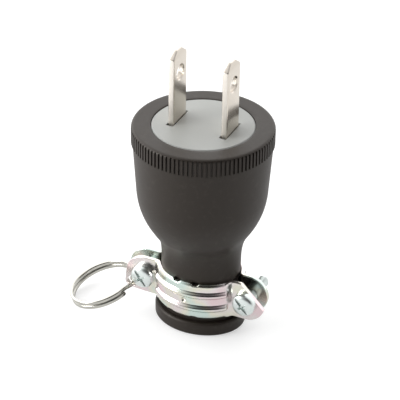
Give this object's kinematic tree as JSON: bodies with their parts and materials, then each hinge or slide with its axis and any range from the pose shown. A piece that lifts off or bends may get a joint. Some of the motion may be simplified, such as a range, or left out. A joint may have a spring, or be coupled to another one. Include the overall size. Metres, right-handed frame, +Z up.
{
  "type": "rubber electric plug",
  "caption": "Rubber two-blade mains plug: ribbed bell-shaped cover, grey contact holder, screwed sheet-metal cord clamp and a split ring.",
  "frame": {"origin": "centre of the cord outlet on the underside of the end flange, on which the plug stands", "axes": "+Z up from the cord outlet to the blades, X across the blades and along the clamp's ears, clamp screw heads towards -Y"},
  "size_m": [0.0481, 0.0316, 0.0672],
  "materials": {
    "black_rubber": "moulded, matt",
    "grey_resin": "moulded, satin",
    "nickel_plated_brass": "nickel plated",
    "terminal_brass": "plain",
    "zinc_plated_sheet": "bright zinc, passivated",
    "zinc_plated_screw": "bright zinc, passivated",
    "ring_steel": "nickel plated"
  },
  "bodies": {
    "plug": {"rubber_cover": "black_rubber", "contact_holder": "grey_resin", "blade_left": "nickel_plated_brass", "blade_right": "nickel_plated_brass", "terminal_washer_left": "terminal_brass", "terminal_washer_right": "terminal_brass", "terminal_screw_left": "terminal_brass", "terminal_screw_right": "terminal_brass", "clamp_half_front": "zinc_plated_sheet", "clamp_half_rear": "zinc_plated_sheet", "clamp_screw_left": "zinc_plated_screw", "clamp_screw_right": "zinc_plated_screw"},
    "ring": {"split_ring": "ring_steel"}
  },
  "joints": [
    {"name": "ring_swing", "type": "hinge", "parent": "plug", "child": "ring", "pos_m": [-0.01585, -0.003, 0.00645], "axis": [0, 1, 0], "range_deg": [-105, 25]}
  ]
}
